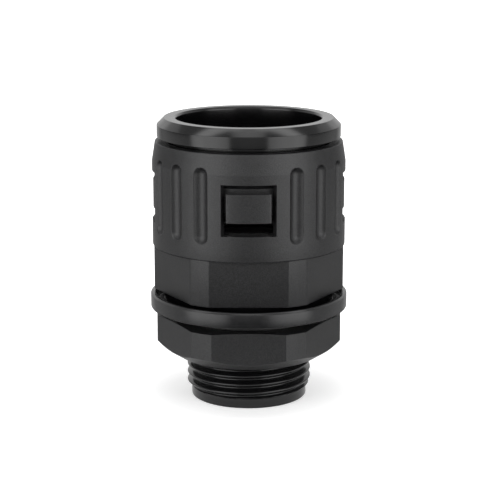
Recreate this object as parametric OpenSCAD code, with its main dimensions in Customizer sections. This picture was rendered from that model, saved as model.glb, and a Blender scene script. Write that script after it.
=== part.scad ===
// Push-in liquidtight connector for corrugated conduit, millimetres.
// It stands on its thread, z up, with the conduit mouth at the top and a flat of the hexagon facing -Y.

/* [Thread end] */
// Major diameter of the parallel pipe thread
thread_d = 26.44; // [22:0.02:40]
// Length of the thread, from its end face to the boss
thread_len = 21.4; // [18:0.1:30]
// Depth of a thread groove
thread_depth = 1.16; // [0.5:0.01:2]
// Height of the plain lead-in collar
lead_h = 2.0; // [1:0.1:4]
// How much smaller in radius the lead-in collar is than the thread
lead_step = 0.92; // [0.4:0.02:1.6]
// Wall between the thread's root and the bore for the cables
neck_wall = 2.06; // [1:0.02:4]

/* [Body] */
// How far the upper hexagon's rounded corners stand out over its flats
hex_corner_out = 1.7; // [0.8:0.05:2.8]
// How far the hexagon's rounded corners sit inside the sleeve's surface
hex_step = 0.25; // [0.1:0.05:2]
// Height of the upper hexagon
hex_h = 9.7; // [6:0.1:16]
// How far the round boss sits inside the hexagon's flats
boss_step = 0.45; // [0:0.05:1]
// Height of the boss
boss_h = 2.0; // [1:0.1:4]
// Height of the tapered part at the top of the sleeve
taper_h = 4.1; // [1:0.1:8]
// How much the taper takes off the radius
taper_in = 0.65; // [0:0.05:1.5]
// Wall of the sleeve beside the claws
sleeve_wall = 2.45; // [1.5:0.05:4]
// Height of the lip over the snap groove
sleeve_lip = 1.3; // [0.8:0.1:3]
// Height of the land under the snap groove
land_h = 0.5; // [0.3:0.1:1]
// Height of the cone that closes the claws on the conduit
cone_h = 1.2; // [0.6:0.1:2]
// How much that cone takes off the chamber's radius
cone_in = 0.55; // [0.3:0.05:1]

/* [Windows and grooves] */
// Number of windows round the sleeve
window_count = 4; // [2:2:4]
// Angle that a window spans
window_angle = 32; // [20:1:50]
// Number of grip grooves on each side of the front and back windows
groove_count = 3; // [1:1:4]
// Angle from the middle of the front or back window to the first groove
groove_first = 28.5; // [24:0.5:36]
// Angle between two grooves
groove_step = 18.0; // [10:0.1:25]
// Width of a groove at the surface
groove_w = 3.2; // [2:0.1:5]
// Depth of a groove
groove_depth = 0.95; // [0.4:0.05:1.4]
// Length of a groove
groove_len = 15.8; // [8:0.1:24]
// Height of a groove's lower end above the foot of the sleeve
groove_lift = 3.4; // [1:0.1:8]

/* [Conduit] */
// Outside diameter of the corrugated conduit
conduit_d = 28.5; // [24:0.1:45]
// Depth of the conduit's corrugation
conduit_ridge = 1.35; // [0.8:0.05:3]
// Radial room between the conduit and the release ring
mouth_play = 0.95; // [0.3:0.05:2]
// Height of the guide that the end of the conduit stands in
guide_h = 7.4; // [3:0.1:9]
// Radial room between the conduit and the guide
guide_play = 0.15; // [0.05:0.05:0.5]

/* [Seal and spacer] */
// Height of the seal's seat above the foot of the sleeve
seat_rise = 0.3; // [0.1:0.1:2]
// Height of the rubber conduit seal
seal_h = 3.6; // [3:0.1:8]
// How far the seal lips reach inside the conduit's surface
lip_squeeze = 0.35; // [0.1:0.05:0.8]
// Depth of the hollow between the seal lips
lip_depth = 1.3; // [0.6:0.1:2]
// Height of the spacer ring over the seal
spacer_h = 1.2; // [0.8:0.1:3]
// Radial gap round the seal and the spacer
seal_gap = 0.05; // [0.02:0.01:0.1]

/* [Claw ring] */
// Number of claw fingers
finger_count = 8; // [6:1:12]
// Height of a lug in its window
lug_h = 5.9; // [3:0.1:10]
// Gap over a lug when no conduit is in
lug_over = 1.9; // [0.8:0.1:3]
// Gap under a lug when no conduit is in
lug_under = 2.7; // [1.5:0.1:5]
// How deep a lug's face sits below the sleeve's surface
lug_recess = 0.20; // [0.1:0.05:1]
// Wall of the claw ring's hoop
hoop_wall = 1.7; // [1:0.1:3]
// Height of the claw ring above the top of its lugs
hoop_rise = 1.5; // [0.8:0.1:3]
// How far a lug hangs below the hoop
lug_hang = 1.2; // [0.4:0.1:2]
// Bevel at the top of the claw ring
hoop_bevel = 0.8; // [0.4:0.1:1.2]
// Height of the uncut band under the slots
band_h = 1.6; // [0.8:0.1:2.5]
// Width of the slots between fingers
slot_w = 1.6; // [0.8:0.1:3]
// Height of the slope that leads the conduit past a claw tooth
tooth_h = 2.4; // [1.2:0.1:3]
// Width of that slope
tooth_slope = 1.4; // [0.6:0.1:2]
// Height of a claw tooth's tip
tooth_tip = 0.4; // [0.2:0.1:0.8]

/* [Release ring] */
// How far the release ring sits inside the sleeve's top edge
ring_step = 0.40; // [0:0.05:0.8]
// Height of the release ring's head
ring_h = 3.95; // [2:0.05:6]
// Bevel of the release ring's top edge
ring_bevel = 1.5; // [0.4:0.1:2.5]
// Gap under the head when it is not pressed
ring_gap = 0.95; // [0.5:0.05:2]
// How far the head can be pressed
press_travel = 0.7; // [0.3:0.1:1.5]
// Wall of the skirt
skirt_wall = 1.85; // [1:0.05:3]
// Height of the snap bead over the skirt's foot
bead_lift = 1.1; // [0.6:0.1:2]
// Height of the snap bead
bead_h = 0.9; // [0.8:0.1:2]
// How far the snap bead stands out
bead_out = 0.75; // [0.3:0.05:1]

/* [Sealing washer] */
// Height of the sealing washer at its rim
washer_h = 3.2; // [2:0.1:6]
// How far the washer stands out past the hexagon's corners
washer_out = 0.8; // [0.4:0.1:2]
// Width of the washer's rim
rim_w = 1.0; // [0.6:0.1:2]
// Depth of the dish inside the rim
dish_depth = 1.4; // [0.4:0.1:2]

/* [Locknut] */
// Width of the locknut across its flats
nut_af = 36.2; // [32:0.1:50]
// How far the locknut's rounded corners stand out over its flats
nut_corner_out = 1.55; // [0.8:0.05:2.5]
// Height of the locknut's hexagon
nut_h = 8.5; // [5:0.1:12]
// Height of the collar on the locknut
collar_h = 1.7; // [0.6:0.1:4]
// Wall of the collar round the thread
collar_wall = 2.4; // [1:0.1:4]
// How far the lower bearing face sits inside the flats
nut_foot_in = 2.7; // [0.4:0.1:3]
// Height of the cone under the locknut's corners
nut_cone_h = 2.7; // [0.4:0.1:4]
// How far the upper face sits inside the flats
nut_top_in = 0.05; // [0:0.05:1]
// Height of the bevel on the locknut's upper corners
nut_bevel_h = 0.3; // [0.2:0.1:2]

/* [Clearances] */
// Radial running gap between the thread and what turns on it
thread_play = 0.10; // [0.03:0.01:0.15]
// Radial gap round the claw ring and the release ring
moving_play = 0.30; // [0.2:0.05:0.5]
// Small bevel on moulded edges
edge = 0.3; // [0.1:0.05:0.4]

/* [Hidden] */
$fn = 96;
cut = 1;

thread_r = thread_d / 2;
thread_root_r = thread_r - thread_depth;
cable_r = thread_root_r - neck_wall;

lead_r = thread_r - lead_step;

conduit_r = conduit_d / 2;
mouth_r = conduit_r + mouth_play;
skirt_r = mouth_r + skirt_wall;
land_r = skirt_r + moving_play;
chamber_r = land_r + cone_in;
sleeve_r = chamber_r + sleeve_wall;
sleeve_top_r = sleeve_r - taper_in;
ring_r = sleeve_top_r - ring_step;

boss_top = thread_len + boss_h;
hex_top = boss_top + hex_h;
hex_corner_r = sleeve_r - hex_step;
hex_flat_r = hex_corner_r - hex_corner_out;
boss_r = hex_flat_r - boss_step;

washer_top = thread_len + dish_depth;
washer_z = washer_top - washer_h;
nut_top = washer_z - collar_h;
nut_z = nut_top - nut_h;
nut_bore_r = thread_r + thread_play;
washer_r = hex_corner_r + washer_out;
rim_r = washer_r - rim_w;
nut_flat_r = nut_af / 2;
nut_corner_r = nut_flat_r + nut_corner_out;

relief_z = nut_z - thread_play - thread_depth;

guide_r = conduit_r + guide_play;
seat_z = hex_top + seat_rise;
guide_z = seat_z - guide_h;
seal_top = seat_z + seal_h;
spacer_top = seal_top + spacer_h;

window_z = spacer_top + moving_play;
window_h = lug_under + lug_h + lug_over;
lug_z = window_z + lug_under;
lug_top = lug_z + lug_h;
lug_r = sleeve_r - lug_recess;
lug_half_w = chamber_r * sin(window_angle / 2) - moving_play;

hoop_z = lug_z + lug_hang;
hoop_top = lug_top + hoop_rise;
hoop_r = chamber_r - moving_play;
hoop_in = hoop_r - hoop_wall;
tooth_r = conduit_r - conduit_ridge;
tooth_z = hoop_top - tooth_h;

skirt_z = hoop_top + lug_over + press_travel + moving_play;
bead_r = skirt_r + bead_out;
bead_z = skirt_z + bead_lift;
snap_r = bead_r + moving_play;
snap_z = bead_z - press_travel - moving_play;
snap_top = bead_z + bead_h + moving_play;
cone_top = snap_z - land_h;
cone_z = cone_top - cone_h;
sleeve_top = snap_top + sleeve_lip;

ring_z = sleeve_top + ring_gap;
ring_top = ring_z + ring_h;

groove_r = (pow(groove_w / 2, 2) + pow(groove_depth, 2)) / (2 * groove_depth);
groove_axis_r = sleeve_r - groove_depth + groove_r;
groove_z = hex_top + groove_lift;

// Hexagon with flats facing the Y axis and corners turned to a circle
module hexagon(flat_r, corner_r, h) {
    intersection() {
        cylinder(r = flat_r / cos(30), h = h, $fn = 6);
        cylinder(r = corner_r, h = h);
    }
}

// Outside of the body, without its hexagon
module body_outside() {
    rotate_extrude()
        polygon([
            [0, 0],
            [lead_r - edge, 0],
            [lead_r, edge],
            [lead_r, lead_h],
            [thread_r, lead_h],
            [thread_r, relief_z],
            [thread_root_r, relief_z + thread_depth / 2],
            [thread_r, relief_z + thread_depth],
            [thread_r, thread_len],
            [boss_r, thread_len],
            [boss_r, hex_top],
            [sleeve_r - edge, hex_top],
            [sleeve_r, hex_top + edge],
            [sleeve_r, sleeve_top - taper_h],
            [sleeve_top_r, sleeve_top - edge],
            [sleeve_top_r - edge, sleeve_top],
            [0, sleeve_top]
        ]);
}

// Cable bore, conduit guide, chamber, clamping cone and mouth with its snap groove
module body_inside() {
    rotate_extrude()
        polygon([
            [0, -cut],
            [cable_r + edge, -cut],
            [cable_r + edge, 0],
            [cable_r, edge],
            [cable_r, guide_z],
            [guide_r, guide_z],
            [guide_r, seat_z - edge],
            [guide_r + edge, seat_z],
            [chamber_r, seat_z],
            [chamber_r, cone_z],
            [land_r, cone_top],
            [land_r, snap_z],
            [snap_r, snap_z],
            [snap_r, snap_top],
            [land_r, snap_top],
            [land_r, sleeve_top - edge],
            [land_r + edge, sleeve_top],
            [land_r + edge, sleeve_top + cut],
            [0, sleeve_top + cut]
        ]);
}

// A sector with radial sides, from the chamber out through the sleeve
module window_cutter() {
    reach = sleeve_r + cut;
    start = chamber_r - cut;
    translate([0, 0, window_z])
        linear_extrude(height = window_h)
            polygon([
                [start * cos(window_angle / 2), -start * sin(window_angle / 2)],
                [reach * cos(window_angle / 2), -reach * sin(window_angle / 2)],
                [reach * cos(window_angle / 2), reach * sin(window_angle / 2)],
                [start * cos(window_angle / 2), start * sin(window_angle / 2)]
            ]);
}

// A round-bottomed groove with ball ends
module groove_cutter() {
    low = groove_z + groove_w / 2;
    high = groove_z + groove_len - groove_w / 2;
    translate([groove_axis_r, 0, low])
        cylinder(r = groove_r, h = high - low);
    translate([groove_axis_r, 0, low])
        sphere(r = groove_r);
    translate([groove_axis_r, 0, high])
        sphere(r = groove_r);
}

module body() {
    color([0.12, 0.12, 0.125])
        difference() {
            union() {
                body_outside();
                translate([0, 0, boss_top])
                    hexagon(hex_flat_r, hex_corner_r, hex_h);
            }
            body_inside();
            for (i = [0 : window_count - 1])
                rotate([0, 0, i * 360 / window_count - 90])
                    window_cutter();
            for (face = [-90, 90])
                for (side = [-1, 1])
                    for (k = [0 : groove_count - 1])
                        rotate([0, 0, face + side * (groove_first + k * groove_step)])
                            groove_cutter();
        }
}

module release_ring() {
    color([0.05, 0.05, 0.055])
        rotate_extrude()
            polygon([
                [mouth_r, skirt_z + edge],
                [mouth_r + edge, skirt_z],
                [skirt_r - edge, skirt_z],
                [skirt_r, skirt_z + edge],
                [skirt_r, bead_z],
                [bead_r, bead_z + edge],
                [bead_r, bead_z + bead_h - edge],
                [skirt_r, bead_z + bead_h],
                [skirt_r, ring_z],
                [ring_r - edge, ring_z],
                [ring_r, ring_z + edge],
                [ring_r, ring_top - ring_bevel],
                [ring_r - ring_bevel, ring_top],
                [mouth_r + edge, ring_top],
                [mouth_r, ring_top - edge]
            ]);
}

// The hoop, with an inward claw tooth all round that the slots divide
module claw_turned() {
    rotate_extrude()
        polygon([
            [hoop_in, hoop_z],
            [hoop_r - edge, hoop_z],
            [hoop_r, hoop_z + edge],
            [hoop_r, hoop_top - hoop_bevel],
            [hoop_r - hoop_bevel, hoop_top],
            [tooth_r + tooth_slope, hoop_top],
            [tooth_r, tooth_z],
            [tooth_r, tooth_z - tooth_tip],
            [hoop_in, tooth_z - tooth_tip]
        ]);
}

// A lug that stands out into its window
module claw_lug() {
    intersection() {
        translate([hoop_r - hoop_wall / 2, -lug_half_w, lug_z])
            cube([lug_r, 2 * lug_half_w, lug_h]);
        cylinder(r = lug_r, h = lug_top + cut);
    }
}

module claw_ring() {
    color([0.12, 0.12, 0.125])
        difference() {
            union() {
                claw_turned();
                for (i = [0 : window_count - 1])
                    rotate([0, 0, i * 360 / window_count - 90])
                        claw_lug();
            }
            for (i = [0 : finger_count - 1])
                rotate([0, 0, (i + 0.5) * 360 / finger_count - 90])
                    translate([tooth_r - cut, -slot_w / 2, hoop_z + band_h])
                        cube([sleeve_r, slot_w, hoop_top]);
        }
}

module spacer_ring() {
    inner = guide_r + guide_play;
    outer = chamber_r - seal_gap;
    color([0.10, 0.10, 0.105])
        rotate_extrude()
            polygon([
                [inner, seal_top],
                [outer, seal_top],
                [outer, spacer_top - edge],
                [outer - edge, spacer_top],
                [inner + edge, spacer_top],
                [inner, spacer_top - edge]
            ]);
}

// Rubber ring with two lips that bear on the conduit
module conduit_seal() {
    lip_r = conduit_r - lip_squeeze;
    web_r = lip_r + lip_depth;
    lip_h = seal_h / 3;
    color([0.03, 0.03, 0.03])
        rotate_extrude()
            polygon([
                [web_r, seat_z],
                [chamber_r - seal_gap, seat_z],
                [chamber_r - seal_gap, seal_top],
                [web_r, seal_top],
                [lip_r, seal_top - lip_h / 2],
                [lip_r, seal_top - lip_h],
                [web_r, seal_top - lip_h * 1.5],
                [lip_r, seal_top - lip_h * 2],
                [lip_r, seal_top - lip_h * 2.5]
            ]);
}

module sealing_washer() {
    color([0.06, 0.06, 0.065])
        rotate_extrude()
            polygon([
                [nut_bore_r, washer_z],
                [washer_r - edge, washer_z],
                [washer_r, washer_z + edge],
                [washer_r, washer_top - edge],
                [washer_r - edge, washer_top],
                [rim_r, washer_top],
                [rim_r - edge, thread_len],
                [nut_bore_r, thread_len]
            ]);
}

// Turned outline that bevels the corners of the locknut, with its collar
module nut_turned() {
    rotate_extrude()
        polygon([
            [nut_bore_r, nut_z],
            [nut_flat_r - nut_foot_in, nut_z],
            [nut_corner_r, nut_z + nut_cone_h],
            [nut_corner_r, nut_top - nut_bevel_h],
            [nut_flat_r - nut_top_in, nut_top],
            [nut_bore_r + collar_wall, nut_top],
            [nut_bore_r + collar_wall, washer_z],
            [nut_bore_r, washer_z]
        ]);
}

module locknut() {
    color([0.12, 0.12, 0.125])
        intersection() {
            nut_turned();
            translate([0, 0, nut_z])
                cylinder(r = nut_flat_r / cos(30), h = nut_h + collar_h, $fn = 6);
        }
}

body();
release_ring();
claw_ring();
spacer_ring();
conduit_seal();
sealing_washer();
locknut();
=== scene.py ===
"""Liquidtight push-in conduit connector: mouldings, thread, seals, finishes and a photo stage."""
import math

import bmesh
import bpy
import numpy as np
from bpy.props import FloatProperty, FloatVectorProperty, PointerProperty
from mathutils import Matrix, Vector


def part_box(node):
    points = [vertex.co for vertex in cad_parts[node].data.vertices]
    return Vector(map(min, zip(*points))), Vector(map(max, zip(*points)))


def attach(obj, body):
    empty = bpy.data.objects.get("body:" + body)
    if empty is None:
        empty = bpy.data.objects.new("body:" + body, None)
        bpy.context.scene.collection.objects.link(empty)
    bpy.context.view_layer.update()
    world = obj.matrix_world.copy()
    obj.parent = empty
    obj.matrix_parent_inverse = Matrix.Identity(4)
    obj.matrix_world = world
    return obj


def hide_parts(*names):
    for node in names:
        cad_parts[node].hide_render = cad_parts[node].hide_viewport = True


bl_info = {
    "name": "Liquidtight conduit connector",
    "version": (1, 0, 0),
    "blender": (4, 5, 0),
    "location": "3D View > Sidebar > Connector",
    "description": "Dresses the connector's mouldings and seals and sets its photo stage",
    "category": "Object",
}

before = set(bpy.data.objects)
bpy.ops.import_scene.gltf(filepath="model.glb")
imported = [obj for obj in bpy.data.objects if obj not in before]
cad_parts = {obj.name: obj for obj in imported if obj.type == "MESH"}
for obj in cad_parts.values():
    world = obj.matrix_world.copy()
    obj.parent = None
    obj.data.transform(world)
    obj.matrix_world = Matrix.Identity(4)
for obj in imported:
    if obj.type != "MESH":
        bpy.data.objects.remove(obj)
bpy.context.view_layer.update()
MM = 0.001
# Heights closer than this, in metres, count as one.
NEAR = 1e-6
# Radius lost for each length along a thread flank that leans 27.5 degrees.
FLANK = 1.921
# Typical refractive indices, and the roughness of the polished nylon and the two rubbers.
NYLON_IOR, RUBBER_IOR = 1.53, 1.52
POLISHED_DULLNESS, SEAL_DULLNESS, WASHER_DULLNESS = 0.12, 0.5, 0.24
# The photograph's view: distance and aim in millimetres, and degrees above the horizon.
CAMERA_AWAY, CAMERA_RISE, CAMERA_AIM, CAMERA_LENS = 354.6, 12.75, (0.26, 0.0, 31.36), 120.0
# Brightness of the room above the horizon, where 1 is white.
ROOM_LIGHT = 0.38
# The floor's own glow beside the object, and where it starts and ends its rise to white.
FLOOR_LIFT, LIFT_START, LIFT_END = 0.44, 0.018, 0.08
# Radius of the patch of floor that shows in the object's gloss, and its share of the glow there.
GLOSS_PATCH, GLOSS_SHARE = 0.030, 0.6
# Watts that a lamp needs for each brightness and square metre, with its sides faded.
LAMP_POWER = 1.45 * math.pi
# Soft boxes: name, place, width and height in metres, and brightness.
SOFT_BOXES = (
    ("left_front_box", (-0.193, -0.174, 0.09), (0.25, 0.32), 1.62),
    ("right_front_box", (0.193, -0.174, 0.09), (0.25, 0.32), 1.55),
    ("left_low_box", (-0.37, 0.05, -0.085), (0.66, 0.21), 0.44),
    ("right_low_box", (0.37, 0.05, -0.085), (0.66, 0.21), 0.42),
    ("left_high_box", (-0.33, 0.17, 0.23), (0.46, 0.24), 0.30),
    ("right_high_box", (0.33, 0.17, 0.23), (0.46, 0.24), 0.24),
    ("front_box", (0.0, -0.45, 0.105), (0.50, 0.39), 0.34),
    ("rear_low_box", (0.0, 0.50, -0.08), (0.90, 0.26), 0.45),
    ("rear_high_box", (0.0, 0.50, 0.20), (0.90, 0.30), 0.38),
    ("overhead_box", (0.0, 0.0, 0.48), (0.20, 0.30), 0.95),
    ("overhead_left_strip", (-0.18, 0.0, 0.47), (0.10, 0.30), 1.9),
    ("overhead_right_strip", (0.18, 0.0, 0.47), (0.10, 0.30), 1.9),
)


def foot(node):
    """Lowest height of a CAD node."""
    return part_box(node)[0][2]


def top(node):
    """Highest height of a CAD node."""
    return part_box(node)[1][2]


def reach(node, axis=0):
    """Half width of a CAD node."""
    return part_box(node)[1][axis]


def linear(code):
    """The linear colour of an sRGB hex value."""
    parts = [int(code[i:i + 2], 16) / 255 for i in (1, 3, 5)]
    return [p / 12.92 if p <= 0.04045 else ((p + 0.055) / 1.055) ** 2.4 for p in parts]


def length(name, words, millimetres):
    """A size in metres that the sidebar shows."""
    return FloatProperty(name=name, description=words, default=millimetres * MM, unit="LENGTH", precision=5)


def tint(name, words, code):
    """A colour that the sidebar shows."""
    return FloatVectorProperty(name=name, description=words, default=linear(code), size=3, min=0, max=1,
                               subtype="COLOR")


class ConnectorSizes(bpy.types.PropertyGroup):
    """Sizes of the mouldings, seals and thread."""
    thread_pitch: length("Thread pitch", "Distance from one thread crest to the next", 1.814)
    thread_radius: length("Thread radius", "Radius over the thread's crests", 13.22)
    thread_depth: length("Thread depth", "Height of a thread crest over its root", 1.16)
    thread_phase: length("Thread start", "Height of a thread crest at the front", 3.60)
    lead_radius: length("Lead-in radius", "Radius of the plain collar that starts the thread", 12.3)
    lead_height: length("Lead-in height", "Height of that collar", 2.0)
    cable_radius: length("Cable bore", "Radius of the bore for the cables", 10.0)
    boss_radius: length("Boss radius", "Radius of the round boss on the washer", 17.95)
    boss_height: length("Boss height", "Height of the boss", 2.0)
    hex_flat: length("Hexagon flats", "Distance from the axis to a flat of the upper hexagon", 18.4)
    hex_corner: length("Hexagon corners", "Radius over the upper hexagon's corners", 20.1)
    hex_height: length("Hexagon height", "Height of the upper hexagon", 9.7)
    taper_height: length("Taper height", "Height of the taper at the top of the sleeve", 4.1)
    taper_in: length("Taper depth", "What the taper takes off the sleeve's radius", 0.65)
    chamber_radius: length("Chamber radius", "Inside radius of the sleeve beside the claws", 17.9)
    land_radius: length("Mouth radius", "Inside radius of the sleeve at its mouth", 17.35)
    snap_radius: length("Snap groove radius", "Radius of the groove for the release ring's bead", 18.2)
    snap_foot: length("Snap groove foot", "Height of that groove's lower edge", 51.6)
    land_foot: length("Mouth land foot", "Height of the land's lower edge", 51.1)
    chamber_top: length("Chamber top", "Height where the chamber starts to close to the land", 49.9)
    guide_radius: length("Guide radius", "Radius of the guide for the conduit's end", 14.4)
    guide_depth: length("Guide depth", "Depth of that guide under the seal", 7.4)
    window_foot: length("Window foot", "Height of the windows' lower edge", 38.5)
    window_top: length("Window top", "Height of the windows' upper edge", 49.0)
    window_half: FloatProperty(name="Window half width", description="Angle from a window's middle to its side",
                               default=math.radians(16), unit="ROTATION")
    sill_drop: length("Sill drop", "Fall of a window's sill towards the inside", 0.8)
    lip_height: length("Lip height", "Height of the lip over the snap groove", 1.3)
    groove_first: FloatProperty(name="First groove", description="Angle from a window's middle to the first groove",
                                default=math.radians(28.5), unit="ROTATION")
    groove_step: FloatProperty(name="Groove spacing", description="Angle between two grooves",
                               default=math.radians(18), unit="ROTATION")
    groove_width: length("Groove width", "Width of a grip groove", 3.2)
    groove_depth: length("Groove depth", "Depth of a grip groove", 0.95)
    groove_foot: length("Groove foot", "Height of the grooves' lower ends", 36.5)
    groove_length: length("Groove length", "Length of a groove", 15.8)
    ring_bevel: length("Ring bevel", "Bevel of the release ring's top edge", 1.5)
    ring_head: length("Ring head", "Height of the release ring's head", 3.95)
    mouth_radius: length("Ring bore", "Inside radius of the release ring", 15.2)
    skirt_radius: length("Skirt radius", "Outer radius of the release ring's skirt", 17.05)
    bead_rise: length("Bead height", "Height of the snap bead on the skirt", 0.75)
    bead_foot: length("Bead foot", "Height of the bead over the skirt's foot", 1.1)
    claw_gap: length("Claw clearance", "Clearance round the claw ring and its lugs", 0.3)
    claw_wall: length("Claw wall", "Thickness of the claw ring's hoop", 1.7)
    hoop_foot: length("Hoop foot", "Height of the hoop over the lugs' feet", 1.2)
    hoop_height: length("Hoop height", "Height of the hoop", 1.6)
    finger_slot: length("Finger slot", "Half width of the slots between the claw fingers", 0.8)
    tooth_radius: length("Tooth radius", "Radius over the claws' teeth", 12.9)
    lug_step: length("Lug step", "Height of the fingers over the lugs", 1.5)
    lug_ramp: length("Lug ramp", "Fall of a lug's upper face towards the back", 0.9)
    lug_round: length("Lug rounding", "Width of the rounding on a lug's upright edges", 0.35)
    spacer_bore: length("Spacer bore", "Inside radius of the spacer ring", 14.55)
    rim_radius: length("Rim inside", "Inside radius of the washer's raised rim", 19.9)
    dish_depth: length("Dish depth", "Depth of the dish inside the rim", 1.4)
    washer_floor: length("Washer floor", "Thickness of the washer under its groove", 0.6)
    washer_edge: length("Washer bevel", "Bevel of the washer's upper outer edge", 0.38)
    nut_corner: length("Locknut corners", "Radius over the locknut's corners", 19.65)
    nut_foot: length("Locknut foot", "Radius of the locknut's lower face", 15.4)
    nut_cone: length("Locknut cone", "Height of the cone under the corners", 2.7)
    nut_bevel: length("Locknut bevel", "Height of the bevel on the upper corners", 0.3)
    collar_radius: length("Collar radius", "Radius of the locknut's collar", 15.72)
    collar_height: length("Collar height", "Height of the locknut's collar", 1.7)
    break_edge: length("Broken edge", "Radius of the moulded edges", 0.14)


class ConnectorColours(bpy.types.PropertyGroup):
    """Colours of the finishes and the stage."""
    textured: tint("Textured nylon", "Colour of the spark-eroded mouldings", "#1b1b1c")
    polished: tint("Polished nylon", "Colour of the polished mouldings", "#070708")
    rubber: tint("Seal rubber", "Colour of the conduit seal", "#1a1a1a")
    washer: tint("Washer rubber", "Colour of the sealing washer", "#1c1c1d")
    floor: tint("Floor", "Colour of the studio floor", "#f4f4f4")


def fillet(corners, steps=5):
    """A (radius, height) path whose corners are rounded. Each corner is (radius, height, rounding)."""
    path = []
    count = len(corners)
    for i, (r, z, rounding) in enumerate(corners):
        here = np.array((r, z))
        if not rounding:
            path.append((r, z))
            continue
        back = np.array(corners[i - 1][:2]) - here
        ahead = np.array(corners[(i + 1) % count][:2]) - here
        back_len, ahead_len = np.linalg.norm(back), np.linalg.norm(ahead)
        back, ahead = back / back_len, ahead / ahead_len
        half = math.acos(max(-1, min(1, float(back @ ahead)))) / 2
        cut = min(rounding / math.tan(half), 0.49 * back_len, 0.49 * ahead_len)
        radius = cut * math.tan(half)
        middle = here + (back + ahead) / np.linalg.norm(back + ahead) * radius / math.sin(half)
        start, end = here + back * cut - middle, here + ahead * cut - middle
        sweep = math.acos(max(-1, min(1, float(start @ end) / radius ** 2)))
        for k in range(steps + 1):
            t = k / steps
            point = (start * math.sin((1 - t) * sweep) + end * math.sin(t * sweep)) / math.sin(sweep)
            path.append(tuple(middle + point))
    return path


def bearings(hard, step):
    """Sorted bearings in degrees from the front, with every hard one and none further apart than step."""
    marks = sorted({round(a % 360, 4) for a in hard})
    kept = []
    for a in marks:
        if not kept or a - kept[-1] > 0.02:
            kept.append(a)
    filled = []
    for a, b in zip(kept, kept[1:] + [kept[0] + 360]):
        count = max(1, math.ceil((b - a) / step - 1e-6))
        filled += [a + (b - a) * k / count for k in range(count)]
    return np.array(filled)


def rounds(path, angles):
    """Rows of constant radius and height for a turned form."""
    return [(np.full(len(angles), r), np.full(len(angles), z)) for r, z in path]


def lay(rows, angles):
    """Points of rows of (radii, heights) at these bearings. Bearing 0 faces the camera, -Y."""
    a = np.radians(angles)
    return [(r * np.sin(a), -r * np.cos(a), z) for r, z in rows]


def grid_mesh(name, rows, angles, left_out=None, walls=(), ring=True, loop=True):
    """A mesh from rows of points round the axis. left_out(i, j) names quads to leave open."""
    columns = len(angles)
    verts = np.concatenate([np.stack(p, 1) for p in lay(rows, angles)])
    faces = []
    for i in range(len(rows) if loop else len(rows) - 1):
        n = (i + 1) % len(rows)
        for j in range(columns if ring else columns - 1):
            if left_out and left_out(i, j):
                continue
            k = (j + 1) % columns
            faces.append((i * columns + j, i * columns + k, n * columns + k, n * columns + j))
    faces += [tuple(i * columns + j % columns for i, j in wall) for wall in walls]
    mesh = bpy.data.meshes.new(name)
    mesh.from_pydata(verts.tolist(), [], faces)
    return mesh


def tidy(mesh, weld=1e-7):
    """Welds a mesh and turns its faces outward."""
    work = bmesh.new()
    work.from_mesh(mesh)
    bmesh.ops.remove_doubles(work, verts=work.verts, dist=weld)
    bmesh.ops.dissolve_degenerate(work, dist=weld, edges=work.edges)
    bmesh.ops.delete(work, geom=[v for v in work.verts if not v.link_faces], context="VERTS")
    bmesh.ops.recalc_face_normals(work, faces=work.faces)
    work.to_mesh(mesh)
    work.free()


def place(name, meshes, body, finish, stands_for, sharp, rounding=0.0):
    """Joins meshes into one smooth-shaded piece that rides on a body and stands for CAD nodes."""
    whole = bmesh.new()
    for mesh in meshes:
        tidy(mesh)
        whole.from_mesh(mesh)
        bpy.data.meshes.remove(mesh)
    data = bpy.data.meshes.new(name)
    whole.to_mesh(data)
    whole.free()
    data.shade_smooth()
    data.set_sharp_from_angle(angle=math.radians(sharp))
    piece = bpy.data.objects.new(name, data)
    bpy.context.scene.collection.objects.link(piece)
    data.materials.append(finish)
    if rounding:
        bevel = piece.modifiers.new("Broken edges", "BEVEL")
        bevel.width = rounding
        bevel.segments = 2
        bevel.limit_method = "ANGLE"
        bevel.angle_limit = math.radians(40)
        bevel.harden_normals = True
        bevel.use_clamp_overlap = True
    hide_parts(*stands_for)
    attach(piece, body)


def soft_min(a, b, blend):
    """The smaller of two values, with the crossing rounded over blend."""
    h = np.clip(0.5 + 0.5 * (b - a) / blend, 0, 1)
    return b * (1 - h) + a * h - blend * h * (1 - h)


def hexagon_radius(angles, flat, corner):
    """Radius of a hexagon, flat at bearing 0, with each corner taken off by two facets that meet in an arris."""
    turn = np.radians(np.abs((angles + 30) % 60 - 30))
    end = math.acos(flat / corner)
    lean = (end + math.radians(30)) / 2
    facet = corner * math.cos(lean - end) / np.cos(turn - lean)
    return np.where(turn <= end, flat / np.cos(turn), facet)


def hexagon_edges(flat, corner):
    """Bearings of a hexagon's upright edges: where its flats end, and its arrises."""
    half = math.degrees(math.acos(flat / corner))
    return [k * 60 + turn for k in range(6) for turn in (-half, half, 30)]


def add(tree, kind, links=(), **settings):
    """Adds a node. Settings name its inputs or its attributes, and links are (input, socket) pairs."""
    node = tree.nodes.new(kind)
    for key, value in settings.items():
        socket = node.inputs.get(key.replace("_", " "))
        if hasattr(node, key):
            setattr(node, key, value)
        elif socket is not None:
            socket.default_value = value
        else:
            raise KeyError(f"{kind} has no {key}")
    for key, output in links:
        tree.links.new(output, node.inputs[key])
    return node


def blank(name):
    """A new material with an empty tree and its output node."""
    material = bpy.data.materials.new(name)
    material.use_nodes = True
    material.node_tree.nodes.clear()
    return material, material.node_tree, material.node_tree.nodes.new("ShaderNodeOutputMaterial")


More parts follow.
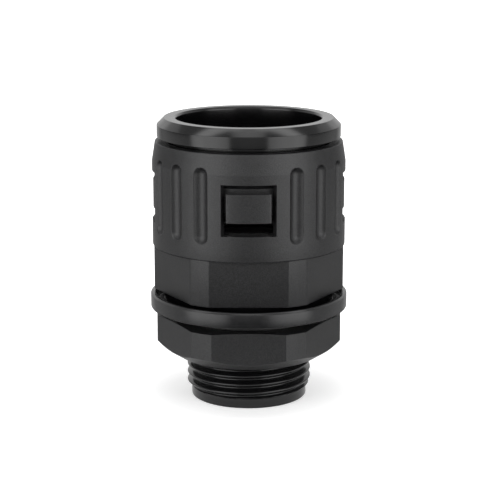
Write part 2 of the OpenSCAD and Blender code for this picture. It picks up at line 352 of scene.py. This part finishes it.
def textured_nylon(colour):
    """Black polyamide moulded in a spark-eroded cavity: a dry, fine-grained matte that greys at the edges."""
    material, tree, out = blank("spark_eroded_nylon")
    where = add(tree, "ShaderNodeTexCoord").outputs["Object"]
    # The eroded grain is about 0.08 mm; it is drawn at 0.22 mm, the finest that a pixel can hold.
    grain = add(tree, "ShaderNodeTexNoise", [("Vector", where)], Scale=1 / (0.22 * MM), Detail=3.0, Roughness=0.6)
    # Flow of the melt leaves patches some 6 mm across that are slightly duller.
    patch = add(tree, "ShaderNodeTexNoise", [("Vector", where)], Scale=1 / (6 * MM), Detail=2.0, Roughness=0.5)
    dark = [c * 0.3 for c in colour] + [1]
    light = [c * 2.0 for c in colour] + [1]
    ramp = add(tree, "ShaderNodeValToRGB", [("Fac", grain.outputs["Fac"])])
    ramp.color_ramp.elements[0].position, ramp.color_ramp.elements[0].color = 0.3, dark
    ramp.color_ramp.elements[1].position, ramp.color_ramp.elements[1].color = 0.72, light
    dull = add(tree, "ShaderNodeMapRange", [("Value", patch.outputs["Fac"])], To_Min=0.38, To_Max=0.46)
    bump = add(tree, "ShaderNodeBump", [("Height", grain.outputs["Fac"])], Strength=1.0, Distance=0.04 * MM)
    shell = add(tree, "ShaderNodeBsdfPrincipled",
                [("Base Color", ramp.outputs["Color"]), ("Roughness", dull.outputs["Result"]),
                 ("Normal", bump.outputs["Normal"])], IOR=NYLON_IOR)
    tree.links.new(shell.outputs["BSDF"], out.inputs["Surface"])
    return material


def polished_nylon(name, colour, dullness):
    """Black polyamide from a polished cavity: a hard gloss, very slightly wavy where it shrank."""
    material, tree, out = blank(name)
    where = add(tree, "ShaderNodeTexCoord").outputs["Object"]
    # Sink waves about 4 mm long keep the reflections from being ruler straight.
    wave = add(tree, "ShaderNodeTexNoise", [("Vector", where)], Scale=1 / (4 * MM), Detail=1.0, Roughness=0.4)
    fine = add(tree, "ShaderNodeTexNoise", [("Vector", where)], Scale=1 / (0.35 * MM), Detail=2.0, Roughness=0.5)
    tone = add(tree, "ShaderNodeValToRGB", [("Fac", wave.outputs["Fac"])])
    tone.color_ramp.elements[0].position, tone.color_ramp.elements[0].color = 0.3, [c * 0.9 for c in colour] + [1]
    tone.color_ramp.elements[1].position, tone.color_ramp.elements[1].color = 0.7, [c * 1.1 for c in colour] + [1]
    gloss = add(tree, "ShaderNodeMapRange", [("Value", fine.outputs["Fac"])], To_Min=dullness,
                To_Max=dullness + 0.08)
    bump = add(tree, "ShaderNodeBump", [("Height", wave.outputs["Fac"])], Strength=0.12, Distance=0.05 * MM)
    shell = add(tree, "ShaderNodeBsdfPrincipled",
                [("Base Color", tone.outputs["Color"]), ("Roughness", gloss.outputs["Result"]),
                 ("Normal", bump.outputs["Normal"])], IOR=NYLON_IOR)
    tree.links.new(shell.outputs["BSDF"], out.inputs["Surface"])
    return material


def moulded_rubber(name, colour, dullness):
    """Black rubber from a smooth mould: a soft, oily sheen over a deep black."""
    material, tree, out = blank(name)
    where = add(tree, "ShaderNodeTexCoord").outputs["Object"]
    # Bloom on the rubber shows as spots about 1 mm across.
    bloom = add(tree, "ShaderNodeTexNoise", [("Vector", where)], Scale=1 / (1.0 * MM), Detail=3.0, Roughness=0.6)
    tone = add(tree, "ShaderNodeValToRGB", [("Fac", bloom.outputs["Fac"])])
    tone.color_ramp.elements[0].position, tone.color_ramp.elements[0].color = 0.35, [c * 0.85 for c in colour] + [1]
    tone.color_ramp.elements[1].position, tone.color_ramp.elements[1].color = 0.75, [c * 1.2 for c in colour] + [1]
    sheen = add(tree, "ShaderNodeMapRange", [("Value", bloom.outputs["Fac"])], To_Min=dullness - 0.05,
                To_Max=dullness + 0.06)
    bump = add(tree, "ShaderNodeBump", [("Height", bloom.outputs["Fac"])], Strength=0.08, Distance=0.05 * MM)
    shell = add(tree, "ShaderNodeBsdfPrincipled",
                [("Base Color", tone.outputs["Color"]), ("Roughness", sheen.outputs["Result"]),
                 ("Normal", bump.outputs["Normal"])], IOR=RUBBER_IOR)
    tree.links.new(shell.outputs["BSDF"], out.inputs["Surface"])
    return material


def finish_named(name, make, *values):
    """A finish, made once and then shared."""
    return bpy.data.materials.get(name) or make(*values)


def textured(context):
    """The spark-eroded finish in the user's colour."""
    return finish_named("spark_eroded_nylon", textured_nylon, context.scene.connector_colours.textured[:])


def polished(context):
    """The mould-polished finish in the user's colour."""
    return finish_named("mould_polished_nylon", polished_nylon, "mould_polished_nylon",
                        context.scene.connector_colours.polished[:], POLISHED_DULLNESS)


class CONNECTOR_OT_housing(bpy.types.Operator):
    """Builds the body's hexagon and its windowed, grooved sleeve"""
    bl_idname = "connector.housing"
    bl_label = "Housing"

    def execute(self, context):
        s = context.scene.connector_sizes
        marks = [window + side * math.degrees(s.groove_first + k * s.groove_step)
                 for window in (0, 180) for side in (-1, 1) for k in range(3)]
        angles = self.columns(s, marks)
        heights = self.heights(s)
        shared = [z for z in heights if s.window_foot - NEAR <= z <= s.window_top + NEAR]
        rows = self.hexagon(s, angles)
        outer = len(rows) + heights.index(shared[0])
        radius, rim = reach("body"), top("body")
        rows += [self.sleeve(s, angles, marks, radius, rim, z) for z in heights]
        rows += self.mouth(s, angles)
        inner = len(rows)
        rows += rounds([(s.chamber_radius, z if z > shared[0] else z - s.sill_drop) for z in reversed(shared)],
                       angles)
        rows += self.seal_seat(s, angles)
        left_out, walls = self.windows(s, angles, outer, inner, len(shared) - 1)
        shell = grid_mesh("housing", rows, angles, left_out, walls)
        place("housing", [shell], "housing", textured(context), ["body"], 30, s.break_edge)
        return {"FINISHED"}

    @staticmethod
    def columns(s, marks):
        """Bearings that follow the grooves, the windows' sides and the hexagon's edges."""
        groove = [0, 0.9, 1.8, 2.6, 3.3, 3.8, 4.15, 4.4, 4.6, 4.8, 5.05, 5.5]
        half = math.degrees(s.window_half)
        hard = [mark + turn * side for mark in marks for turn in groove for side in (-1, 1)]
        hard += [i * 90 + turn * side for i in range(4) for turn in (half - 0.7, half, half + 0.7)
                 for side in (-1, 1)]
        return bearings(hard + hexagon_edges(s.hex_flat, s.hex_corner), 2.0)

    @staticmethod
    def heights(s):
        """Heights of the sleeve's rows, close together at the grooves' ends and the windows' edges."""
        fine = np.array([0, .1, .2, .3, .42, .56, .72, .9, 1.1, 1.35, 1.6, 1.85, 2.1]) * MM
        margin = 0.15 * MM
        taper = top("body") - s.taper_height
        rows = list(s.groove_foot - margin + fine) + list(s.groove_foot + s.groove_length + margin - fine)
        rows += [s.window_foot, s.window_foot + 0.6 * MM, s.window_top - 0.6 * MM, s.window_top]
        rows += list(np.linspace(s.window_foot + 1.6 * MM, s.window_top - 1.6 * MM, 6))
        rows += [taper, taper + 0.5 * MM, taper + 2.6 * MM, taper + 3.3 * MM]
        return sorted(set(np.round(rows, 7)))

    @staticmethod
    def hexagon(s, angles):
        """Rows of the hexagon, from the bore over its foot to the sleeve's rounded foot."""
        low = top("sealing_washer") - s.dish_depth + s.boss_height
        high = low + s.hex_height
        hexed = hexagon_radius(angles, s.hex_flat, s.hex_corner)
        rows = rounds([(s.cable_radius, low)], angles)
        for inset, z in ((0.2 * MM, low), (0.06 * MM, low + 0.1 * MM), (0, low + 0.3 * MM), (0, high)):
            rows.append((hexed - inset, np.full(len(angles), z)))
        sleeve = reach("body")
        return rows + rounds(fillet([(s.hex_flat, high, 0), (sleeve, high, 0.3 * MM), (sleeve, 1, 0)])[1:-1], angles)

    @staticmethod
    def sleeve(s, angles, marks, outer, rim, z):
        """The sleeve's surface at one height, with the grooves milled into it by a ball-ended cutter."""
        up_taper = max(0.0, (z - rim + s.taper_height) / s.taper_height)
        radii = np.full(len(angles), outer - s.taper_in * up_taper)
        cutter = ((s.groove_width / 2) ** 2 + s.groove_depth ** 2) / (2 * s.groove_depth)
        axis = outer - s.groove_depth + cutter
        low = s.groove_foot + s.groove_width / 2
        high = s.groove_foot + s.groove_length - s.groove_width / 2
        past = max(0.0, z - high, low - z)
        if past < cutter:
            ball = math.sqrt(cutter ** 2 - past ** 2)
            for mark in marks:
                off = np.radians((angles - mark + 180) % 360 - 180)
                close = np.abs(off) < 0.2
                side = axis * np.sin(off[close])
                depth = axis * np.cos(off[close]) - np.sqrt(np.maximum(ball ** 2 - side ** 2, 0))
                radii[close] = np.where(np.abs(side) < ball, soft_min(radii[close], depth, 0.16 * MM), radii[close])
        return radii, np.full(len(angles), z)

    @staticmethod
    def mouth(s, angles):
        """Rows of the mouth: the lip, the snap groove, the land and the cone down to the chamber."""
        high = top("body")
        lip = high - s.lip_height
        edge = reach("body") - s.taper_in
        path = fillet([(edge + 0.1 * MM, high - 0.6 * MM, 0), (edge, high, 0.15 * MM),
                       (s.land_radius, high, 0.1 * MM), (s.land_radius, lip, 0.1 * MM), (s.snap_radius, lip, 0)])
        path += [(s.snap_radius, s.snap_foot), (s.land_radius, s.snap_foot), (s.land_radius, s.land_foot),
                 (s.chamber_radius, s.chamber_top)]
        return rounds(path, angles)

    @staticmethod
    def seal_seat(s, angles):
        """Rows of the seal's seat and the guide for the conduit's end."""
        seat, lead = foot("conduit_seal"), 0.3 * MM
        return rounds([(s.chamber_radius, seat), (s.guide_radius + lead, seat), (s.guide_radius, seat - lead),
                       (s.guide_radius, seat - s.guide_depth), (s.cable_radius, seat - s.guide_depth)], angles)

    @staticmethod
    def windows(s, angles, outer, inner, rise):
        """A test for the quads that the windows leave open, and the walls of their reveals."""
        half = math.degrees(s.window_half)
        count = len(angles)
        pairs = [(outer + k, inner + rise - k) for k in range(rise + 1)]
        open_columns, walls = set(), []
        for i in range(4):
            first, last = (int(np.argmin(np.abs((angles - i * 90 - side * half + 180) % 360 - 180)))
                           for side in (-1, 1))
            open_columns.update((first + k) % count for k in range((last - first) % count))
            for (o, n), (p, q) in zip(pairs, pairs[1:]):
                walls += [[(o, first), (p, first), (q, first), (n, first)],
                          [(o, last), (n, last), (q, last), (p, last)]]
        for j in sorted(open_columns):
            walls += [[(o, j), (o, j + 1), (n, j + 1), (n, j)] for o, n in (pairs[0], pairs[-1])]

        def left_out(i, j):
            return j in open_columns and (outer <= i < outer + rise or inner <= i < inner + rise)
        return left_out, walls


class CONNECTOR_OT_thread(bpy.types.Operator):
    """Cuts the right-hand pipe thread and turns the boss over it"""
    bl_idname = "connector.thread"
    bl_label = "Thread and boss"

    def execute(self, context):
        s = context.scene.connector_sizes
        boss_z = top("sealing_washer") - s.dish_depth
        root = s.thread_radius - s.thread_depth
        # The flanks would meet this far out; the crests are cut off below that and rounded.
        apex = s.thread_radius + 0.29 * MM
        rounding, relief, inset = 0.3 * MM, 1.0 * MM, 0.2 * MM
        angles = np.linspace(0, 360, 145)
        steps = 30
        rows = []
        for k in range(-steps, math.ceil((boss_z / s.thread_pitch + 1) * steps) + 1):
            climb = s.thread_pitch * angles / 360
            z = k / steps * s.thread_pitch + climb
            # Distance from the nearest crest, along the axis.
            off = np.abs((z - climb - s.thread_phase) / s.thread_pitch % 1 - 0.5)
            off = (0.5 - off) * s.thread_pitch
            form = soft_min(np.full(len(angles), s.thread_radius), apex - FLANK * off, rounding)
            form = -soft_min(-form, np.full(len(angles), -root), rounding)
            # The thread runs out at 45 degrees on the lead-in collar, and ends in a relief under the boss.
            z = np.clip(z, s.lead_height, boss_z)
            form = np.minimum(form, s.lead_radius + z - s.lead_height)
            form = np.where(z <= s.lead_height + 1e-9, s.lead_radius, form)
            form = np.where(z >= boss_z - relief, np.minimum(form, root), form)
            rows.append((form, z))
        helix = grid_mesh("thread", rows, angles, ring=False, loop=False)
        tidy(helix, 2e-6)
        around = bearings([0], 3)
        core = grid_mesh("core", rounds(fillet([
            (s.cable_radius, 0, 0.3 * MM), (s.lead_radius, 0, 0.3 * MM), (s.lead_radius, s.lead_height, 0),
            (root - inset, s.lead_height, 0), (root - inset, boss_z, 0), (s.boss_radius, boss_z, 0.15 * MM),
            (s.boss_radius, boss_z + s.boss_height, 0), (s.cable_radius, boss_z + s.boss_height, 0)]),
            around), around)
        place("thread", [helix, core], "housing",
              finish_named("threaded_nylon", polished_nylon, "threaded_nylon",
                           context.scene.connector_colours.polished[:], POLISHED_DULLNESS), ["body"], 40)
        return {"FINISHED"}


class CONNECTOR_OT_release_ring(bpy.types.Operator):
    """Turns the glossy release ring with its skirt and snap bead"""
    bl_idname = "connector.release_ring"
    bl_label = "Release ring"

    def execute(self, context):
        s = context.scene.connector_sizes
        low, high, outer = foot("release_ring"), top("release_ring"), reach("release_ring")
        head = high - s.ring_head
        bead, bead_radius = low + s.bead_foot, s.skirt_radius + s.bead_rise
        around = bearings([0], 1.5)
        path = fillet([
            (s.mouth_radius, low, 0.25 * MM), (s.skirt_radius, low, 0.25 * MM),
            (s.skirt_radius, bead, 0), (bead_radius, bead + 0.25 * MM, 0.1 * MM),
            (bead_radius, bead + 0.65 * MM, 0.1 * MM), (s.skirt_radius, bead + 0.9 * MM, 0),
            (s.skirt_radius, head, 0), (outer, head, 0.12 * MM), (outer, high - s.ring_bevel, 0.2 * MM),
            (outer - s.ring_bevel, high, 0.12 * MM), (s.mouth_radius, high, 0.6 * MM)])
        place("release_ring_top", [grid_mesh("ring", rounds(path, around), around)], "release",
              polished(context), ["release_ring"], 35)
        return {"FINISHED"}


class CONNECTOR_OT_claw_ring(bpy.types.Operator):
    """Builds the claw ring: its band, eight fingers with teeth and four lugs"""
    bl_idname = "connector.claw_ring"
    bl_label = "Claw ring"

    def execute(self, context):
        s = context.scene.connector_sizes
        low, high = foot("claw_ring"), top("claw_ring")
        hoop = low + s.hoop_foot
        band = hoop + s.hoop_height
        outer = s.chamber_radius - s.claw_gap
        inner = outer - s.claw_wall
        around = bearings([0], 2)
        parts = [grid_mesh("hoop", rounds(fillet([
            (inner, hoop, 0.2 * MM), (outer, hoop, 0.25 * MM), (outer, band, 0), (inner, band, 0)]), around), around)]
        sunk, bevel, ramp, tip = 0.02 * MM, 0.8 * MM, 2.4 * MM, 2.8 * MM
        section = fillet([
            (inner, band - sunk, 0), (outer, band - sunk, 0), (outer, high - bevel, 0.2 * MM),
            (outer - bevel, high, 0.2 * MM), (s.tooth_radius + 1.4 * MM, high, 0.2 * MM),
            (s.tooth_radius, high - ramp, 0.08 * MM), (s.tooth_radius, high - tip, 0.08 * MM),
            (inner, high - tip, 0.15 * MM)])
        half = 22.5 - math.degrees(s.finger_slot / outer)
        parts += [self.finger(section, np.linspace(i * 45 - half, i * 45 + half, 21)) for i in range(8)]
        parts += [self.lug(s, i * 90, low, high - s.lug_step, outer - 0.6 * MM) for i in range(4)]
        place("claw_ring_jaws", parts, "claws", textured(context), ["claw_ring"], 30, 0.1 * MM)
        return {"FINISHED"}

    @staticmethod
    def finger(section, sweep):
        """One claw finger: its section swept over its bearings, with both ends closed."""
        mesh = grid_mesh("finger", rounds(section, sweep), sweep, ring=False)
        work = bmesh.new()
        work.from_mesh(mesh)
        work.verts.ensure_lookup_table()
        for end in (0, len(sweep) - 1):
            work.faces.new([work.verts[k * len(sweep) + end] for k in range(len(section))])
        work.to_mesh(mesh)
        work.free()
        return mesh

    @staticmethod
    def lug(s, bearing, low, high, back):
        """One lug: a block whose face follows the sleeve and whose upright edges are rounded."""
        face = reach("claw_ring")
        width = s.chamber_radius * math.sin(s.window_half) - s.claw_gap
        soft = s.lug_round
        turn = 1 - np.cos(np.linspace(0, math.pi / 2, 9))
        xs = np.concatenate([soft * turn - width, np.linspace(soft - width, width - soft, 11)[1:-1],
                             (width - soft * turn)[::-1]])
        edge = np.maximum(0, np.abs(xs) - (width - soft))
        drop = soft - np.sqrt(np.maximum(soft ** 2 - edge ** 2, 0))
        # The rounding is a little shallower than it is wide.
        ys = np.sqrt(face ** 2 - xs ** 2) - drop * 0.75
        outline = [(-width, back)] + list(zip(xs, ys)) + [(width, back)]
        a = math.radians(bearing)
        mesh = bpy.data.meshes.new("lug")
        work = bmesh.new()
        levels = []
        for part in (0, 0.5, 1):
            # The upper face falls towards the back, as a ramp under the release ring's skirt.
            levels.append([work.verts.new((x * math.cos(a) + y * math.sin(a), x * math.sin(a) - y * math.cos(a),
                                           low + (high - low - (s.lug_ramp if y == back else 0)) * part))
                           for x, y in outline])
        for lower, upper in zip(levels, levels[1:]):
            for k in range(len(outline)):
                n = (k + 1) % len(outline)
                work.faces.new((lower[k], lower[n], upper[n], upper[k]))
        work.faces.new(levels[0][::-1])
        work.faces.new(levels[-1])
        work.to_mesh(mesh)
        work.free()
        return mesh


class CONNECTOR_OT_seals(bpy.types.Operator):
    """Turns the spacer ring and the lipped conduit seal under the claws"""
    bl_idname = "connector.seals"
    bl_label = "Spacer and seal"

    def execute(self, context):
        s = context.scene.connector_sizes
        c = context.scene.connector_colours
        around = bearings([0], 2)
        low, high, outer = foot("spacer_ring"), top("spacer_ring"), reach("spacer_ring")
        path = fillet([(s.spacer_bore, low, 0), (outer, low, 0), (outer, high, 0.3 * MM), (s.spacer_bore, high, 0)])
        place("spacer", [grid_mesh("spacer", rounds(path, around), around)], "housing",
              polished(context), ["spacer_ring"], 35)
        low, high, outer = foot("conduit_seal"), top("conduit_seal"), reach("conduit_seal")
        step = (high - low) / 6
        web, lip = s.guide_radius + 0.8 * MM, s.guide_radius - 0.5 * MM
        path = fillet([(web, low, 0.1 * MM), (outer, low, 0), (outer, high, 0), (web, high, 0.1 * MM),
                       (lip, high - step, 0.15 * MM), (lip, high - 2 * step, 0.15 * MM),
                       (web, high - 3 * step, 0.2 * MM), (lip, high - 4 * step, 0.15 * MM),
                       (lip, high - 5 * step, 0.15 * MM)])
        rubber = moulded_rubber("moulded_seal_rubber", c.rubber[:], SEAL_DULLNESS)
        place("lip_seal", [grid_mesh("seal", rounds(path, around), around)], "housing", rubber,
              ["conduit_seal"], 35)
        return {"FINISHED"}


class CONNECTOR_OT_washer(bpy.types.Operator):
    """Turns the glossy sealing washer: its seat, its groove and its raised rim"""
    bl_idname = "connector.washer"
    bl_label = "Sealing washer"

    def execute(self, context):
        s = context.scene.connector_sizes
        c = context.scene.connector_colours
        low, high, outer = foot("sealing_washer"), top("sealing_washer"), reach("sealing_washer")
        bore = s.thread_radius + 0.1 * MM
        seat, groove = high - s.dish_depth, low + s.washer_floor
        groove_radius = s.boss_radius + 0.1 * MM
        around = bearings([0], 1.5)
        path = fillet([
            (bore, low, 0.15 * MM), (outer, low, 0.25 * MM), (outer, high - s.washer_edge, 0.12 * MM),
            (outer - s.washer_edge, high, 0.12 * MM), (s.rim_radius, high, 0.12 * MM),
            (s.rim_radius, groove, 0.2 * MM), (groove_radius, groove, 0.2 * MM), (groove_radius, seat, 0.1 * MM),
            (bore, seat, 0.15 * MM)])
        rubber = moulded_rubber("moulded_washer_rubber", c.washer[:], WASHER_DULLNESS)
        place("rimmed_washer", [grid_mesh("washer", rounds(path, around), around)], "washer", rubber,
              ["sealing_washer"], 35)
        return {"FINISHED"}


class CONNECTOR_OT_locknut(bpy.types.Operator):
    """Builds the locknut: a hexagon with a cone under it, a collar on it and a plain bore"""
    bl_idname = "connector.locknut"
    bl_label = "Locknut"

    def execute(self, context):
        s = context.scene.connector_sizes
        low, high, flat = foot("locknut"), top("locknut") - s.collar_height, reach("locknut", 1)
        bore = s.thread_radius + 0.1 * MM
        face = flat - 0.05 * MM
        angles = bearings(hexagon_edges(flat, s.nut_corner), 1.5)
        hexed = hexagon_radius(angles, flat, s.nut_corner)
        cone = s.nut_cone / (s.nut_corner - s.nut_foot)
        bevel = s.nut_bevel / (s.nut_corner - face)

        lead = 0.4 * MM
        rows = rounds([(bore, low + lead), (bore + lead, low), (s.nut_foot, low)], angles)
        rows += [(hexed, low + (hexed - s.nut_foot) * cone), (hexed, high - (hexed - face) * bevel)]
        rows += rounds([(face, high), (s.collar_radius, high), (s.collar_radius, top("locknut")),
                        (bore, top("locknut"))], angles)
        place("hex_locknut", [grid_mesh("nut", rows, angles)], "nut", textured(context),
              ["locknut"], 20, s.break_edge)
        return {"FINISHED"}


class CONNECTOR_OT_stage(bpy.types.Operator):
    """Sets the floor, the soft studio lights and the camera"""
    bl_idname = "connector.stage"
    bl_label = "Stage"

    def execute(self, context):
        scene = context.scene
        self.floor(scene)
        self.world(scene)
        self.lights(scene)
        self.camera(scene)
        scene.view_settings.view_transform = "Standard"
        return {"FINISHED"}

    @staticmethod
    def floor(scene):
        """A pale floor. It keeps the shadow near the object and turns to plain white further out."""
        mesh = bpy.data.meshes.new("studio_floor")
        mesh.from_pydata([(-3, -3, 0), (3, -3, 0), (3, 3, 0), (-3, 3, 0)], [], [(0, 1, 2, 3)])
        floor = bpy.data.objects.new("studio_floor", mesh)
        scene.collection.objects.link(floor)
        material, tree, out = blank("pale_floor")
        where = add(tree, "ShaderNodeTexCoord").outputs["Object"]
        away = add(tree, "ShaderNodeVectorMath", [(0, where)], operation="LENGTH").outputs["Value"]
        lift = add(tree, "ShaderNodeMapRange", [("Value", away)], From_Min=LIFT_START, From_Max=LIFT_END,
                   To_Min=FLOOR_LIFT, To_Max=1.0)
        ray = add(tree, "ShaderNodeLightPath").outputs
        seen = add(tree, "ShaderNodeMath", [(0, ray["Is Glossy Ray"]), (2, ray["Is Camera Ray"])],
                   operation="MULTIPLY_ADD")
        seen.inputs[1].default_value = GLOSS_SHARE
        level = add(tree, "ShaderNodeMath", [(0, lift.outputs["Result"]), (1, seen.outputs["Value"])],
                    operation="MULTIPLY")
        glow = add(tree, "ShaderNodeEmission", [("Strength", level.outputs["Value"])], Color=(1, 1, 1, 1))
        matte = add(tree, "ShaderNodeBsdfDiffuse", Color=(*scene.connector_colours.floor, 1))
        both = add(tree, "ShaderNodeAddShader", [(0, matte.outputs["BSDF"]), (1, glow.outputs["Emission"])])
        # Only a patch of floor under the object shows in its gloss, as on a small white table.
        far = add(tree, "ShaderNodeMath", [(0, away)], operation="GREATER_THAN")
        far.inputs[1].default_value = GLOSS_PATCH
        hidden = add(tree, "ShaderNodeMath", [(0, far.outputs["Value"]), (1, ray["Is Glossy Ray"])],
                     operation="MULTIPLY")
        clear = add(tree, "ShaderNodeBsdfTransparent")
        shown = add(tree, "ShaderNodeMixShader", [("Fac", hidden.outputs["Value"]), (1, both.outputs["Shader"]),
                                                  (2, clear.outputs["BSDF"])])
        tree.links.new(shown.outputs["Shader"], out.inputs["Surface"])
        mesh.materials.append(material)

    @staticmethod
    def world(scene):
        """Faint room light, and plain white where the camera sees past the floor."""
        world = bpy.data.worlds.new("studio")
        world.use_nodes = True
        tree = world.node_tree
        tree.nodes.clear()
        seen = add(tree, "ShaderNodeLightPath").outputs["Is Camera Ray"]
        where = add(tree, "ShaderNodeTexCoord").outputs["Generated"]
        up = add(tree, "ShaderNodeSeparateXYZ", [("Vector", where)]).outputs["Z"]
        room = add(tree, "ShaderNodeMapRange", [("Value", up)], From_Min=-0.1, From_Max=0.2, To_Min=0.0,
                   To_Max=ROOM_LIGHT)
        level = add(tree, "ShaderNodeMath", [(0, room.outputs["Result"]), (1, seen)], operation="MAXIMUM")
        sky = add(tree, "ShaderNodeBackground", [("Strength", level.outputs["Value"])], Color=(1, 1, 1, 1))
        out = tree.nodes.new("ShaderNodeOutputWorld")
        tree.links.new(sky.outputs["Background"], out.inputs["Surface"])
        scene.world = world

    @staticmethod
    def lights(scene):
        """Soft boxes: two in front, low and high ones at the sides and behind for the edges, and three overhead."""
        for name, where, size, glow in SOFT_BOXES:
            lamp = bpy.data.lights.new(name, "AREA")
            lamp.shape = "RECTANGLE"
            lamp.size, lamp.size_y = size
            lamp.energy = LAMP_POWER * glow * size[0] * size[1]
            holder = bpy.data.objects.new(name, lamp)
            holder.location = where
            # The cloth of a box is brightest in its middle and fades to its sides.
            lamp.use_nodes = True
            tree = lamp.node_tree
            tree.nodes.clear()
            spot = add(tree, "ShaderNodeNewGeometry").outputs["Parametric"]
            across = add(tree, "ShaderNodeSeparateXYZ", [("Vector", spot)]).outputs["X"]
            fade = add(tree, "ShaderNodeFloatCurve", [("Value", across)]).outputs["Value"]
            curve = fade.node.mapping.curves[0]
            curve.points[0].location, curve.points[1].location = (0, 0), (1, 0)
            curve.points.new(0.3, 0.9)
            curve.points.new(0.7, 0.9)
            cloth = add(tree, "ShaderNodeEmission", [("Strength", fade)])
            tree.links.new(cloth.outputs["Emission"], tree.nodes.new("ShaderNodeOutputLight").inputs["Surface"])
            # Overhead boxes look down at the object's middle, and the others look level across it.
            aim = Vector((0, 0, 0.03 if name.startswith("overhead") else where[2]))
            holder.rotation_euler = (aim - Vector(where)).to_track_quat("-Z", "Y").to_euler()
            holder.visible_camera = False
            scene.collection.objects.link(holder)

    @staticmethod
    def camera(scene):
        """The photograph's view, from a little above."""
        lens = bpy.data.cameras.new("photo_camera")
        lens.lens = CAMERA_LENS
        lens.sensor_width = 36.0
        lens.clip_start, lens.clip_end = 0.01, 20
        camera = bpy.data.objects.new("photo_camera", lens)
        rise = math.radians(CAMERA_RISE)
        aim = Vector(CAMERA_AIM) * MM
        camera.location = aim + Vector((0, -math.cos(rise), math.sin(rise))) * CAMERA_AWAY * MM
        camera.rotation_euler = (aim - camera.location).to_track_quat("-Z", "Y").to_euler()
        scene.collection.objects.link(camera)
        scene.camera = camera


class CONNECTOR_PT_panel(bpy.types.Panel):
    """The connector's sizes, colours and pieces in the sidebar"""
    bl_idname = "CONNECTOR_PT_panel"
    bl_label = "Connector"
    bl_space_type = "VIEW_3D"
    bl_region_type = "UI"
    bl_category = "Connector"

    def draw(self, context):
        for operator in OPERATORS:
            self.layout.operator(operator.bl_idname)
        for group in (context.scene.connector_sizes, context.scene.connector_colours):
            box = self.layout.box()
            for name in group.__annotations__:
                box.prop(group, name)


OPERATORS = (
    CONNECTOR_OT_housing, CONNECTOR_OT_thread, CONNECTOR_OT_release_ring, CONNECTOR_OT_claw_ring,
    CONNECTOR_OT_seals, CONNECTOR_OT_washer, CONNECTOR_OT_locknut, CONNECTOR_OT_stage,
)
CLASSES = (ConnectorSizes, ConnectorColours, *OPERATORS, CONNECTOR_PT_panel)


def register():
    """Registers the classes and the scene's two groups of values."""
    for cls in CLASSES:
        bpy.utils.register_class(cls)
    bpy.types.Scene.connector_sizes = PointerProperty(type=ConnectorSizes)
    bpy.types.Scene.connector_colours = PointerProperty(type=ConnectorColours)


def unregister():
    """Takes the groups and classes off again."""
    del bpy.types.Scene.connector_colours
    del bpy.types.Scene.connector_sizes
    for cls in reversed(CLASSES):
        bpy.utils.unregister_class(cls)


def main():
    """Builds every piece and the stage."""
    register()
    for operator in OPERATORS:
        family, name = operator.bl_idname.split(".")
        getattr(getattr(bpy.ops, family), name)()
    bpy.context.view_layer.update()


if __name__ == "__main__":
    main()
